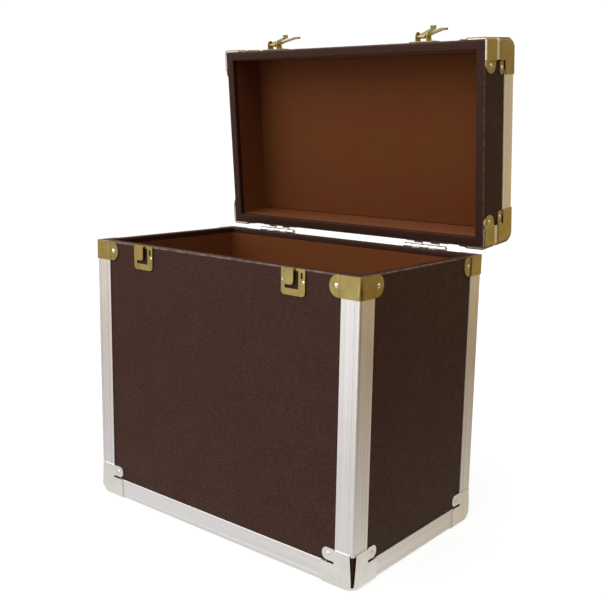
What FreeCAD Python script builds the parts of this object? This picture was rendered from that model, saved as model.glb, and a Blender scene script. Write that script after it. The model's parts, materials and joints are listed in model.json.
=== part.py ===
import FreeCAD, Part
import math
import os

# A carrying case for long-playing records. A deep body and a shallow lid of covered boards
# are edged with aluminium angle, cornered with plated sheet caps and joined by two stop
# hinges at the rear. Millimetres, +X to the right, +Y to the rear, +Z up. The origin is on
# the ground under the middle of the body. The lid is drawn shut and then swung open, and
# the latches and the handle are drawn with it.

V = FreeCAD.Vector

# Overall sizes, over the aluminium edging
WIDTH = 352.0
DEPTH = 208.0
BODY_RIM_Z = 285.8
LID_HEIGHT = 59.6
RIM_GAP = 0.4
LID_OPEN_DEG = 85.0

# Boards, linings and edging
BOARD = 9.0
LINING = 1.0
EDGING_SHEET = 1.2
EDGING_FLANGE = 21.0
EDGING_RIDGE = 3.0
EDGING_EDGE_ROUND = 0.4
GROOVE_WIDTH = 0.8
GROOVE_DEPTH = 0.14
GROOVE_PLACES = (5.5, 15.5)

# Plated sheet corners
SHEET = 1.0
CORNER_ARM = 36.5
BODY_CORNER_RISE = 35.5
LID_CORNER_RISE = 32.0
CORNER_SPHERE_CENTRE = 14.0
CORNER_SPHERE_RADIUS = 18.4
EAR_GAP = 1.5
EAR_ROUND = 5.5
SLIT_BOTTOM = 4.0
BODY_SLIT = (2.6, 6.4)
LID_SLIT = (0.6, 1.2)
LEVEL_LAP = 5.0
UPRIGHT_LAP = 1.6
CAP_HEIGHT = 20.1
CAP_EAR_REACH = 35.0

# Rivets
RIVET_SHANK = 1.4
RIVET_HEAD = 2.4
RIVET_RISE = 1.1
RIVET_LENGTH = 6.0
CORNER_RIVET_IN = 29.8
CAP_RIVET_IN = 27.5
KEEPER_RIVET = (0.9, 1.5, 5.0)

# Rear hinges
PIN_BEHIND_EDGING = 4.5
HINGE_X = 105.0
HINGE_WIDTH = 52.0
HINGE_LEAF = 27.0
HINGE_SHEET = 1.2
HINGE_PIN = 1.5
PIN_CLEARANCE = 0.05
KNUCKLE = 3.0
KNUCKLE_COUNT = 5
KNUCKLE_GAP = 0.3
LEAF_GAP = 1.0
LEAF_CORNER = 4.0
HINGE_RIVET_ROWS = (8.0, 20.0)
HINGE_RIVET_X = 18.0
STOP_GAP = 0.05

# Latches and their keepers
LATCH_X = 101.0
KEEPER_WIDTH = 28.0
KEEPER_HEIGHT = 25.0
KEEPER_SHEET = 1.2
KEEPER_ROUND = 4.0
KEEPER_WINDOW = (-9.4, 6.4, -18.8, -2.4)
KEEPER_SLOT = (9.0, 11.2, -9.0, -3.4)
KEEPER_RIVET_X = 12.1
KEEPER_RIVET_DROP = 12.0
TONGUE_LEFT = -10.4
TONGUE_RIGHT = 2.0
TONGUE_TOP = -0.3
TONGUE_TIP = -15.0
TONGUE_OUT = 2.3
TONGUE_SHEET = 1.1
LATCH_PIVOT_UP = 5.0
LATCH_PIVOT_OUT = 6.2
LATCH_SWING_DEG = 167.5
CLAW_PIN_UP = 2.6
CLAW_PIN_OUT = 0.3
CLAW_LIFT_DEG = 4.0
LEVER_LENGTH = 41.0
LEVER_CURL = 1.3
LATCH_SHEET = 1.0
LATCH_BASE_HEIGHT = 14.0
BASE_CHEEK_IN = 5.9
BASE_CHEEK_OUT = 7.1
BASE_CHEEK_RISE = 4.2
LEVER_CHEEK_IN = 3.7
LEVER_CHEEK_OUT = 4.7
LATCH_RIVET_X = 10.6
LATCH_RIVET_UP = 8.0
CLAW_HALF = 3.3
CLAW_EYE = 1.7
CLAW_PIN = 0.8
CLAW_REACH_OUT = 4.2
CLAW_HOOK_DROP = 15.8
CLAW_HOOK_SHEET = 1.1
PIVOT_RADIUS = 1.2
PIVOT_HEAD = 2.7

# Carrying handle on the lid
HANDLE_PIVOT_X = 60.0
HANDLE_PIVOT_RISE = 10.5
HANDLE_REACH = 34.0
HANDLE_ARM = 6.0
HANDLE_BEND = 14.0
GRIP_RADIUS = 9.0
HANDLE_PIN = 2.0
EYE_HALF = 6.0
EYE_WALL = 0.5
BRACKET_SHEET = 1.5
BRACKET_GAP = 0.4
BRACKET_HALF_X = 17.0
BRACKET_HALF_Y = 13.0
BRACKET_ROUND = 5.0
BRACKET_RIVET_X = 13.0
BRACKET_RIVET_Y = 8.0
CHEEK_FOOT = 8.0
CHEEK_TOP = 5.4
CHEEK_RISE = 5.5
LONG_BORE = 200.0

# Worked out from the driving dimensions
HALF_W = WIDTH / 2
HALF_D = DEPTH / 2
FACE_X = HALF_W - EDGING_SHEET
FACE_Y = HALF_D - EDGING_SHEET
CORNER_X = HALF_W + SHEET
CORNER_Y = HALF_D + SHEET
BASE_FACE_Z = SHEET + EDGING_SHEET
LID_RIM_Z = BODY_RIM_Z + RIM_GAP
LID_EDGING_Z = LID_RIM_Z + LID_HEIGHT
LID_FACE_Z = LID_EDGING_Z - EDGING_SHEET
LID_CORNER_Z = LID_EDGING_Z + SHEET
PIN_Y = HALF_D + PIN_BEHIND_EDGING
PIN_Z = BODY_RIM_Z + RIM_GAP / 2
FLANGE_END = SHEET + EDGING_FLANGE
FACE_SINK = SHEET + EDGING_SHEET
JOGGLE_START = FLANGE_END + 0.1
JOGGLE_END = JOGGLE_START + EDGING_SHEET
JOGGLE_OFFSET = SHEET * math.tan(math.radians(22.5))
HANDLE_PIN_Z = LID_FACE_Z + HANDLE_PIVOT_RISE
CLAW_PIN_CENTRE = (LATCH_PIVOT_UP + CLAW_PIN_UP, LATCH_PIVOT_OUT + CLAW_PIN_OUT)
CORNERS = {
    "front_left": (-1, -1),
    "front_right": (1, -1),
    "rear_left": (-1, 1),
    "rear_right": (1, 1),
}
X_AXIS = V(1, 0, 0)
Y_AXIS = V(0, 1, 0)
Z_AXIS = V(0, 0, 1)
ZERO = V(0, 0, 0)

os.makedirs("parts", exist_ok=True)


def box(low, high):
    """Block between two corners."""
    size = [high[i] - low[i] for i in range(3)]
    return Part.makeBox(size[0], size[1], size[2], V(*low))


def rod(start, direction, length, radius):
    """Cylinder from a point along a direction."""
    return Part.makeCylinder(radius, length, V(*start), V(*direction))


def cross_bore(centre, radius):
    """Long cylinder along X through a point, for boring a pivot."""
    return Part.makeCylinder(radius, LONG_BORE, centre - X_AXIS * (LONG_BORE / 2), X_AXIS)


def joined(shapes):
    """One solid from touching or overlapping solids."""
    return shapes[0].multiFuse(list(shapes[1:])).removeSplitter()


def rounded_plate(outline, origin, along, across, thickness):
    """Plate from corners (u, v, radius), thickened along the cross product of its directions."""
    count = len(outline)
    arcs = []
    for i in range(count):
        here = outline[i]
        before = outline[i - 1]
        after = outline[(i + 1) % count]
        back = FreeCAD.Base.Vector2d(before[0] - here[0], before[1] - here[1])
        ahead = FreeCAD.Base.Vector2d(after[0] - here[0], after[1] - here[1])
        bx, by = back.x / back.length(), back.y / back.length()
        ax, ay = ahead.x / ahead.length(), ahead.y / ahead.length()
        half = math.acos(max(-1.0, min(1.0, bx * ax + by * ay))) / 2
        radius = here[2]
        reach = radius / math.tan(half)
        mx, my = bx + ax, by + ay
        size = math.hypot(mx, my)
        dip = radius / math.sin(half) - radius
        start = (here[0] + bx * reach, here[1] + by * reach)
        end = (here[0] + ax * reach, here[1] + ay * reach)
        middle = (here[0] + mx / size * dip, here[1] + my / size * dip) if radius else start
        arcs.append((start, middle, end))

    def placed(point):
        return origin + along * point[0] + across * point[1]

    edges = []
    for i in range(count):
        start, middle, end = arcs[i]
        if outline[i][2]:
            edges.append(Part.Arc(placed(start), placed(middle), placed(end)).toShape())
        following = arcs[(i + 1) % count][0]
        if math.dist(end, following) > 1e-6:
            edges.append(Part.LineSegment(placed(end), placed(following)).toShape())
    face = Part.Face(Part.Wire(edges))
    normal = along.cross(across)
    return face.extrude(normal * thickness)


def mirrored(shape, side_x, side_y):
    """The shape drawn at the front left corner, moved to another corner by mirroring."""
    result = shape.copy()
    if side_x > 0:
        result = result.mirror(ZERO, X_AXIS)
    if side_y > 0:
        result = result.mirror(ZERO, Y_AXIS)
    return result


def lid_open(shape):
    """Swing a piece of the shut lid to its open rest position."""
    result = shape.copy()
    result.rotate(V(0, PIN_Y, PIN_Z), X_AXIS, -LID_OPEN_DEG)
    return result


def save(shape, name):
    shape.exportStep("parts/" + name + ".step")


# ---------------------------------------------------------------- rivets

class Rivets:
    """Domed rivets gathered for one half of the case, with the holes that their shanks need."""

    def __init__(self):
        self.solids = []
        self.shanks = []

    def add(self, point, outward, shank=RIVET_SHANK, head=RIVET_HEAD, length=RIVET_LENGTH):
        """Rivet with the underside of its head at a point, its head standing outward."""
        rise = RIVET_RISE * head / RIVET_HEAD
        ball = (head * head + rise * rise) / (2 * rise)
        dome = Part.makeSphere(ball, V(0, 0, rise - ball)).common(Part.makeCylinder(head, rise))
        solid = joined([rod((0, 0, -length), Z_AXIS, length, shank), dome]).Solids[0]
        turn = FreeCAD.Rotation(Z_AXIS, V(*outward))
        solid.Placement = FreeCAD.Placement(V(*point), turn)
        self.solids.append(solid)
        base = V(*point) - V(*outward) * length
        self.shanks.append(Part.makeCylinder(shank, length, base, V(*outward)))

    def drill(self, shape):
        """Cut the shanks' holes where they pass through a shape."""
        near = [s for s in self.shanks if shape.BoundBox.intersect(s.BoundBox)]
        return shape.cut(near) if near else shape


body_rivets = Rivets()
lid_rivets = Rivets()


# ---------------------------------------------------------------- boards and linings

def board_box(low_z, high_z, closed_at):
    """Four walls and a closing panel, with their linings, as two dictionaries of solids."""
    in_x = FACE_X - BOARD
    in_y = FACE_Y - BOARD
    walls = {
        "front": box((-FACE_X, -FACE_Y, low_z), (FACE_X, -in_y, high_z)),
        "rear": box((-FACE_X, in_y, low_z), (FACE_X, FACE_Y, high_z)),
        "left": box((-FACE_X, -in_y, low_z), (-in_x, in_y, high_z)),
        "right": box((in_x, -in_y, low_z), (FACE_X, in_y, high_z)),
    }
    if closed_at == "bottom":
        panel = (low_z, low_z + BOARD)
        skin = (low_z + BOARD, low_z + BOARD + LINING)
        wall_skin = (skin[1], high_z)
    else:
        panel = (high_z - BOARD, high_z)
        skin = (high_z - BOARD - LINING, high_z - BOARD)
        wall_skin = (low_z, skin[0])
    walls["closing"] = box((-in_x, -in_y, panel[0]), (in_x, in_y, panel[1]))
    lx = in_x - LINING
    ly = in_y - LINING
    linings = [
        box((-in_x, -in_y, skin[0]), (in_x, in_y, skin[1])),
        box((-in_x, -in_y, wall_skin[0]), (in_x, -ly, wall_skin[1])),
        box((-in_x, ly, wall_skin[0]), (in_x, in_y, wall_skin[1])),
        box((-in_x, -ly, wall_skin[0]), (-lx, ly, wall_skin[1])),
        box((lx, -ly, wall_skin[0]), (in_x, ly, wall_skin[1])),
    ]
    return walls, linings


# ---------------------------------------------------------------- aluminium edging

def edging(origin, along, across, run):
    """Grooved angle with a rounded ridge, its ridge line starting at origin and running along run."""
    flange = EDGING_FLANGE
    thick = EDGING_SHEET
    outline = [(0, 0, EDGING_RIDGE)]
    for place in GROOVE_PLACES:
        outline.append((place, 0, 0))
        outline.append((place, GROOVE_DEPTH, 0))
        outline.append((place + GROOVE_WIDTH, GROOVE_DEPTH, 0))
        outline.append((place + GROOVE_WIDTH, 0, 0))
    outline += [(flange, 0, EDGING_EDGE_ROUND), (flange, thick, 0), (thick, thick, 0)]
    outline += [(thick, flange, 0), (0, flange, EDGING_EDGE_ROUND)]
    for place in reversed(GROOVE_PLACES):
        outline.append((0, place + GROOVE_WIDTH, 0))
        outline.append((GROOVE_DEPTH, place + GROOVE_WIDTH, 0))
        outline.append((GROOVE_DEPTH, place, 0))
        outline.append((0, place, 0))
    return rounded_plate(outline, origin, along, across, run.dot(along.cross(across)))


def vertical_edging(low_z, high_z):
    """Upright angle at the front left corner."""
    return edging(V(-HALF_W, -HALF_D, low_z), X_AXIS, Y_AXIS, V(0, 0, high_z - low_z))


def level_edging(side, base_z, up):
    """Horizontal angle along one side, between the corner pieces. up is +1 or -1."""
    inset = CORNER_ARM - SHEET - LEVEL_LAP
    half_x = HALF_W - inset
    half_y = HALF_D - inset
    rise = Z_AXIS * up
    if side in ("front", "rear"):
        sign = -1 if side == "front" else 1
        origin = V(-half_x, sign * HALF_D, base_z)
        return edging(origin, V(0, -sign, 0), rise, V(2 * half_x, 0, 0))
    sign = -1 if side == "left" else 1
    origin = V(sign * HALF_W, -half_y, base_z)
    return edging(origin, V(-sign, 0, 0), rise, V(0, 2 * half_y, 0))


# ---------------------------------------------------------------- plated corners

def rounded_block(size, radius):
    """Block from the origin with the three edges at the origin rounded."""
    block = Part.makeBox(*size)
    near = []
    for edge in block.Edges:
        if any(v.Point.Length < 1e-6 for v in edge.Vertexes):
            near.append(edge)
    return block.makeFillet(radius, near)


def ball_nose(centre, radius, start):
    """What a ball of the radius leaves of the small cube at a corner, to be cut away."""
    cube = Part.makeBox(centre - start + 1, centre - start + 1, centre - start + 1)
    cube.translate(V(start - 1, start - 1, start - 1))
    return cube.cut(Part.makeSphere(radius, V(centre, centre, centre)))


def three_way_corner(rise, slit_widths):
    """Plated corner over three faces, drawn with its point at the origin and growing along +X, +Y, +Z.

    The upright edge is slit, and the slit's widths are given at its foot and at its top.
    """
    arm = CORNER_ARM
    size = (arm, arm, rise)
    outer = rounded_block(size, EDGING_RIDGE + SHEET)
    outer = outer.cut(ball_nose(CORNER_SPHERE_CENTRE, CORNER_SPHERE_RADIUS, 0))
    hollow = rounded_block([s + 1 for s in size], EDGING_RIDGE)
    hollow.translate(V(SHEET, SHEET, SHEET))
    nose = ball_nose(CORNER_SPHERE_CENTRE, CORNER_SPHERE_RADIUS - SHEET, SHEET)
    shell = outer.cut(hollow.cut(nose))
    flange = FLANGE_END
    deep = 2 * SHEET
    shell = shell.cut([
        box((flange, flange, -1), (arm + 1, arm + 1, deep)),
        box((flange, -1, flange), (arm + 1, deep, rise + 1)),
        box((-1, flange, flange), (deep, arm + 1, rise + 1)),
    ])
    ears = []
    for along, across, reach in ((X_AXIS, Z_AXIS, rise), (Y_AXIS, Z_AXIS, rise), (X_AXIS, Y_AXIS, arm)):
        ears.append(corner_ear(along, across, reach))
    foot, head = [width / 2 for width in slit_widths]
    tall = rise - SLIT_BOTTOM
    slit = rounded_plate(
        [(-foot, 0, foot * 0.8), (foot, 0, foot * 0.8), (head, tall, 0), (-head, tall, 0)],
        V(-3, -3, SLIT_BOTTOM), V(1, -1, 0).normalize(), Z_AXIS, -12.0)
    return joined([shell] + ears).cut(slit)


def corner_relief(z, up):
    """What the ball-nosed corners need cut from the boards' corners at one end of the case."""
    nose = ball_nose(CORNER_SPHERE_CENTRE, CORNER_SPHERE_RADIUS - SHEET, SHEET)
    if up < 0:
        nose = nose.mirror(ZERO, Z_AXIS)
    nose.translate(V(-CORNER_X, -CORNER_Y, z))
    return [mirrored(nose, side_x, side_y) for side_x, side_y in CORNERS.values()]


def joggle(inner_end):
    """Section of the sheet's sloped step from over the edging down to the board, as (along, depth)."""
    return [
        (JOGGLE_START + JOGGLE_OFFSET, 0, 0.4),
        (JOGGLE_END + JOGGLE_OFFSET, EDGING_SHEET, 0),
        (JOGGLE_END + JOGGLE_OFFSET, FACE_SINK, 0),
        (JOGGLE_END, FACE_SINK, 0),
        (JOGGLE_START, SHEET, 0.3 if inner_end else 0),
    ]


def corner_ear(along, across, reach):
    """Lobe that steps down from the arm along across and lies on the board beside it."""
    into = along.cross(across)
    outward = into.dot(V(1, 1, 1)) < 0
    if outward:
        into = into * -1
    low = FLANGE_END + EAR_GAP
    wide = reach - low
    root = FLANGE_END - 2
    section = [(root, 0, 0)] + joggle(False) + [(root, SHEET, 0)]
    turn = along.cross(into).dot(across)
    step = rounded_plate(section, across * low, along, into, wide * turn)
    radius = min(EAR_ROUND, wide / 2 - 0.2)
    lobe = [
        (JOGGLE_END, low, 0),
        (CORNER_ARM, low, radius),
        (CORNER_ARM, reach, radius),
        (JOGGLE_END, reach, 0),
    ]
    face = FACE_SINK if outward else EDGING_SHEET
    return joined([step, rounded_plate(lobe, into * face, along, across, SHEET)])


def rim_cap():
    """Two-way cap round an upright edge, with its top at z = 0 and growing along +X, +Y and -Z."""
    step = joggle(True)
    section = [(0, 0, EDGING_RIDGE + SHEET)] + step + [(SHEET, SHEET, EDGING_RIDGE)]
    section += [(y, x, radius) for x, y, radius in reversed(step)]
    band = rounded_plate(section, V(0, 0, -CAP_HEIGHT), X_AXIS, Y_AXIS, CAP_HEIGHT)
    radius = CAP_HEIGHT / 2 - 0.4
    lobe = [(JOGGLE_END, -CAP_HEIGHT, 0), (CAP_EAR_REACH, -CAP_HEIGHT, radius),
            (CAP_EAR_REACH, 0, radius), (JOGGLE_END, 0, 0)]
    front = rounded_plate(lobe, V(0, FACE_SINK, 0), X_AXIS, Z_AXIS, SHEET)
    side = rounded_plate(lobe, V(EDGING_SHEET, 0, 0), Y_AXIS, Z_AXIS, SHEET)
    return joined([band, front, side])


# ---------------------------------------------------------------- rear hinges

def knuckle_spans(of_body):
    """X ranges, from the hinge's middle, of the knuckles that one leaf carries."""
    pitch = HINGE_WIDTH / KNUCKLE_COUNT
    spans = []
    for i in range(KNUCKLE_COUNT):
        if (i % 2 == 0) == of_body:
            start = -HINGE_WIDTH / 2 + i * pitch
            spans.append((start + KNUCKLE_GAP / 2, start + pitch - KNUCKLE_GAP / 2))
    return spans


def hinge_leaf(of_body):
    """Leaf on the rear board with its knuckles. The lid's leaf carries the stop heels."""
    side = -1 if of_body else 1
    face = FACE_Y
    near = PIN_Z + side * (KNUCKLE + LEAF_GAP)
    far = near + side * HINGE_LEAF
    outline = [(-HINGE_WIDTH / 2, near, 0), (HINGE_WIDTH / 2, near, 0),
               (HINGE_WIDTH / 2, far, LEAF_CORNER), (-HINGE_WIDTH / 2, far, LEAF_CORNER)]
    pieces = [rounded_plate(outline, V(0, face, 0), X_AXIS, Z_AXIS, -HINGE_SHEET)]
    for start, end in knuckle_spans(of_body):
        pieces.append(rod((start, PIN_Y, PIN_Z), X_AXIS, end - start, KNUCKLE))
        web = [(face, near + side * 2.5), (face, near), (PIN_Y - 1.0, PIN_Z + side * 0.6),
               (PIN_Y + 0.2, PIN_Z + side * (KNUCKLE - 0.2))]
        wire = Part.makePolygon([V(start, y, z) for y, z in web + web[:1]])
        pieces.append(Part.Face(wire).extrude(V(end - start, 0, 0)))
        if not of_body:
            pieces.append(stop_heel(start, end))
    leaf = joined(pieces)
    for start, end in knuckle_spans(of_body):
        bore = HINGE_PIN + hinge_slack(of_body)
        leaf = leaf.cut(rod((start - 1, PIN_Y, PIN_Z), X_AXIS, end - start + 2, bore))
    return leaf


def hinge_slack(of_body):
    """The pin is a press fit in the body's leaf and runs in the lid's."""
    return 0.0 if of_body else PIN_CLEARANCE


def stop_heel(start, end):
    """Heel on a lid knuckle that meets the body's leaf when the lid is open."""
    reach = PIN_Y - (FACE_Y + HINGE_SHEET) - STOP_GAP
    heel = box((start, PIN_Y - reach, PIN_Z - KNUCKLE - 0.9), (end, PIN_Y, PIN_Z - 1.0))
    heel.rotate(V(0, PIN_Y, PIN_Z), X_AXIS, LID_OPEN_DEG)
    return heel


def hinge_rivet_places(of_body):
    """Rivet places on a leaf, from the hinge's middle."""
    side = -1 if of_body else 1
    near = PIN_Z + side * (KNUCKLE + LEAF_GAP)
    rows = [near + side * row for row in HINGE_RIVET_ROWS]
    return [(x, z) for x in (-HINGE_RIVET_X, HINGE_RIVET_X) for z in rows]


# ---------------------------------------------------------------- keepers and latches

def keeper():
    """Pierced plate with a hooked tongue, drawn about X = 0 on the front board."""
    top = BODY_RIM_Z
    half = KEEPER_WIDTH / 2
    face = -FACE_Y
    low = -KEEPER_HEIGHT
    outline = [(-half, 0, 0.6), (half, 0, 0.6), (half, low, KEEPER_ROUND), (-half, low, KEEPER_ROUND)]
    base = rounded_plate(outline, V(0, face, top), X_AXIS, Z_AXIS, KEEPER_SHEET)
    for left, right, lower, upper in (KEEPER_WINDOW, KEEPER_SLOT):
        base = base.cut(box((left, face - 5, top + lower), (right, face + 1, top + upper)))
    front = face - TONGUE_OUT
    tongue = box((TONGUE_LEFT, front - TONGUE_SHEET, top - 11.0), (TONGUE_RIGHT, front, top + TONGUE_TOP))
    tip = rounded_plate(
        [(TONGUE_LEFT, -10.0, 0), (TONGUE_RIGHT, -10.0, 0),
         (TONGUE_RIGHT, TONGUE_TIP, 3.6), (TONGUE_LEFT, TONGUE_TIP, 1.2)],
        V(0, front, top), X_AXIS, Z_AXIS, TONGUE_SHEET)
    bridge = box((TONGUE_LEFT, front - 0.5, top + KEEPER_WINDOW[3]),
                 (TONGUE_RIGHT, face - 0.6, top + TONGUE_TOP))
    return joined([base, tongue, tip, bridge])


def latch_point(up, out):
    """Place on the shut lid's front wall, up from its rim and out from its board."""
    return V(0, -FACE_Y - out, LID_RIM_Z + up)


def latch_outline(points, start_x, end_x):
    """Solid across X from an outline of (up, out, radius) on the shut lid's front wall."""
    origin = latch_point(0, 0) + V(start_x, 0, 0)
    return rounded_plate(points, origin, Z_AXIS, V(0, -1, 0), end_x - start_x)


def latch_base():
    """Riveted plate with two upright cheeks that hold the lever's pivots."""
    high = LATCH_BASE_HEIGHT
    plate = latch_outline([(0.6, 0, 0), (high, 0, 0), (high, LATCH_SHEET, 0), (0.6, LATCH_SHEET, 0)],
                          -KEEPER_WIDTH / 2, KEEPER_WIDTH / 2)
    pieces = [plate]
    tall = LATCH_PIVOT_OUT + BASE_CHEEK_RISE
    for side in (-1, 1):
        start, end = sorted((side * BASE_CHEEK_IN, side * BASE_CHEEK_OUT))
        pieces.append(latch_outline(
            [(0.8, 0.2, 0), (10.0, 0.2, 0), (9.2, tall, 3.9), (0.8, tall, 3.9)], start, end))
    base = joined(pieces)
    return base.cut(cross_bore(latch_point(LATCH_PIVOT_UP, LATCH_PIVOT_OUT), PIVOT_RADIUS))


def latch_pivots(centre_x):
    """Two stub rivets that carry the lever, headed outside the cheeks."""
    stubs = []
    centre = latch_point(LATCH_PIVOT_UP, LATCH_PIVOT_OUT)
    for side in (-1, 1):
        start = centre + V(centre_x + side * LEVER_CHEEK_IN, 0, 0)
        length = BASE_CHEEK_OUT - LEVER_CHEEK_IN
        stub = rod(start, X_AXIS * side, length, PIVOT_RADIUS)
        head_at = centre + V(centre_x + side * BASE_CHEEK_OUT, 0, 0)
        ball = Part.makeSphere(4.2, head_at - X_AXIS * side * 3.3)
        dome = rod(head_at, X_AXIS * side, 2.0, PIVOT_HEAD).common(ball)
        stubs.append(joined([stub, dome]))
    return stubs


def latch_lever():
    """Channel-ended lever, drawn shut with its free end below the keeper."""
    up, out = LATCH_PIVOT_UP, LATCH_PIVOT_OUT
    pieces = []
    for side in (-1, 1):
        start, end = sorted((side * LEVER_CHEEK_IN, side * LEVER_CHEEK_OUT))
        pieces.append(latch_outline(
            [(up + 4.4, out - 1.5, 1.4), (up + 4.4, out + 2.2, 1.4), (up - 3.0, out + 2.2, 1.5),
             (up - 12.0, out + 1.3, 0), (up - 12.0, out + 0.2, 0), (up - 2.6, out - 2.4, 2.0)], start, end))
    plate = latch_outline(
        [(up - 3.4, out + 0.3, 0), (up - 3.4, out + 1.3, 0), (up - LEVER_LENGTH, out + 1.3, 0),
         (up - LEVER_LENGTH, out + 0.3, 0)], -LEVER_CHEEK_OUT, LEVER_CHEEK_OUT)
    curl = rod(latch_point(up - LEVER_LENGTH, out + 1.4) - V(LEVER_CHEEK_OUT, 0, 0), X_AXIS,
               2 * LEVER_CHEEK_OUT, LEVER_CURL)
    lever = joined(pieces + [plate, curl])
    bore = cross_bore(latch_point(up, out), PIVOT_RADIUS + PIN_CLEARANCE)
    return lever.cut([bore, cross_bore(latch_point(*CLAW_PIN_CENTRE), CLAW_PIN)])


def latch_claw():
    """Bent claw that hangs from the lever and hooks under the keeper's tongue, drawn shut."""
    eye_up, eye_out = CLAW_PIN_CENTRE
    eye = rod(latch_point(eye_up, eye_out) - V(CLAW_HALF, 0, 0), X_AXIS, 2 * CLAW_HALF, CLAW_EYE)
    inner = CLAW_REACH_OUT
    outer = inner + LATCH_SHEET
    hook_top = -CLAW_HOOK_DROP - RIM_GAP
    hook_low = hook_top - CLAW_HOOK_SHEET
    outline = [
        (eye_up, eye_out - CLAW_EYE, 0), (eye_up - 3.5, inner, 1.0),
        (hook_top, inner, 0.3), (hook_top, 1.5, 0.3), (hook_low, 1.5, 0.3), (hook_low, outer, 1.0),
        (eye_up - 3.5, outer, 1.0), (eye_up - 0.5, eye_out + 0.2, 0),
    ]
    blade = latch_outline(outline, -CLAW_HALF, CLAW_HALF)
    claw = joined([eye, blade])
    return claw.cut(cross_bore(latch_point(eye_up, eye_out), CLAW_PIN + PIN_CLEARANCE))


def claw_pin():
    """Pin of the claw, riveted in the lever's cheeks."""
    half = LEVER_CHEEK_OUT + 0.4
    return rod(latch_point(*CLAW_PIN_CENTRE) - V(half, 0, 0), X_AXIS, 2 * half, CLAW_PIN)


def latch_open(shape, is_claw):
    """Swing a piece of the shut latch to its open rest position, on the shut lid."""
    result = shape.copy()
    if is_claw:
        result.rotate(latch_point(*CLAW_PIN_CENTRE), X_AXIS, CLAW_LIFT_DEG)
    result.rotate(latch_point(LATCH_PIVOT_UP, LATCH_PIVOT_OUT), X_AXIS, -LATCH_SWING_DEG)
    return result


# ---------------------------------------------------------------- carrying handle

def handle_grip():
    """Moulded grip with two arms and pivot eyes, drawn folded flat towards the hinges."""
    bend = HANDLE_BEND
    z = HANDLE_PIN_Z
    corner_x = HANDLE_PIVOT_X - bend
    pieces = []
    for side in (-1, 1):
        x = side * HANDLE_PIVOT_X
        pieces.append(rod((x - EYE_HALF, 0, z), X_AXIS, 2 * EYE_HALF, HANDLE_ARM + EYE_WALL))
        pieces.append(rod((x, 0, z), Y_AXIS, HANDLE_REACH - bend, HANDLE_ARM))
        elbow = Part.makeTorus(bend, HANDLE_ARM, ZERO, Z_AXIS, 0, 360, 90)
        if side < 0:
            elbow = elbow.mirror(ZERO, X_AXIS)
        elbow.translate(V(side * corner_x, HANDLE_REACH - bend, z))
        pieces.append(elbow)
    pieces.append(rod((-corner_x, HANDLE_REACH, z), X_AXIS, 2 * corner_x, HANDLE_ARM))
    profile = [
        Part.Arc(V(-corner_x, 0, HANDLE_ARM), V(0, 0, GRIP_RADIUS), V(corner_x, 0, HANDLE_ARM)).toShape(),
        Part.LineSegment(V(corner_x, 0, HANDLE_ARM), V(corner_x, 0, 0)).toShape(),
        Part.LineSegment(V(corner_x, 0, 0), V(-corner_x, 0, 0)).toShape(),
        Part.LineSegment(V(-corner_x, 0, 0), V(-corner_x, 0, HANDLE_ARM)).toShape(),
    ]
    barrel = Part.Face(Part.Wire(profile)).revolve(ZERO, X_AXIS, 360)
    barrel.translate(V(0, HANDLE_REACH, z))
    pieces.append(barrel)
    return joined(pieces).cut(cross_bore(V(0, 0, z), HANDLE_PIN + PIN_CLEARANCE))


def handle_bracket(side):
    """Riveted plate with two cheeks that hold one pivot of the handle."""
    x = side * HANDLE_PIVOT_X
    half_x, half_y = BRACKET_HALF_X, BRACKET_HALF_Y
    outline = [(x - half_x, -half_y, BRACKET_ROUND), (x + half_x, -half_y, BRACKET_ROUND),
               (x + half_x, half_y, BRACKET_ROUND), (x - half_x, half_y, BRACKET_ROUND)]
    pieces = [rounded_plate(outline, V(0, 0, LID_FACE_Z), X_AXIS, Y_AXIS, BRACKET_SHEET)]
    top = HANDLE_PIVOT_RISE + CHEEK_RISE
    upright = [(-CHEEK_FOOT, 0.3, 0), (CHEEK_FOOT, 0.3, 0), (CHEEK_TOP, top, 5.0), (-CHEEK_TOP, top, 5.0)]
    for cheek in (-1, 1):
        near = x + cheek * (EYE_HALF + BRACKET_GAP)
        start = min(near, near + cheek * BRACKET_SHEET)
        pieces.append(rounded_plate(upright, V(start, 0, LID_FACE_Z), Y_AXIS, Z_AXIS, BRACKET_SHEET))
    bracket = joined(pieces)
    return bracket.cut(cross_bore(V(x, 0, HANDLE_PIN_Z), HANDLE_PIN))


def handle_pin(side):
    """Headed pin through one bracket."""
    half = EYE_HALF + BRACKET_GAP + BRACKET_SHEET
    x = side * HANDLE_PIVOT_X
    pieces = [rod((x - half, 0, HANDLE_PIN_Z), X_AXIS, 2 * half, HANDLE_PIN)]
    for end in (-1, 1):
        ball = Part.makeSphere(4.5, V(x + end * (half - 3.0), 0, HANDLE_PIN_Z))
        pieces.append(rod((x + end * half, 0, HANDLE_PIN_Z), X_AXIS * end, 3.0, 3.2).common(ball))
    return joined(pieces)


# ---------------------------------------------------------------- the body

body_walls, body_linings = board_box(BASE_FACE_Z, BODY_RIM_Z, "bottom")
lid_walls, lid_linings = board_box(LID_RIM_Z, LID_FACE_Z, "top")

body_corner = three_way_corner(BODY_CORNER_RISE, BODY_SLIT)
body_corner.translate(V(-CORNER_X, -CORNER_Y, 0))
body_cap = rim_cap()
body_cap.translate(V(-CORNER_X, -CORNER_Y, BODY_RIM_Z))
lid_corner = three_way_corner(LID_CORNER_RISE, LID_SLIT).mirror(ZERO, Z_AXIS)
lid_corner.translate(V(-CORNER_X, -CORNER_Y, LID_CORNER_Z))
lid_cap = rim_cap().mirror(ZERO, Z_AXIS)
lid_cap.translate(V(-CORNER_X, -CORNER_Y, LID_RIM_Z))

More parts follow.
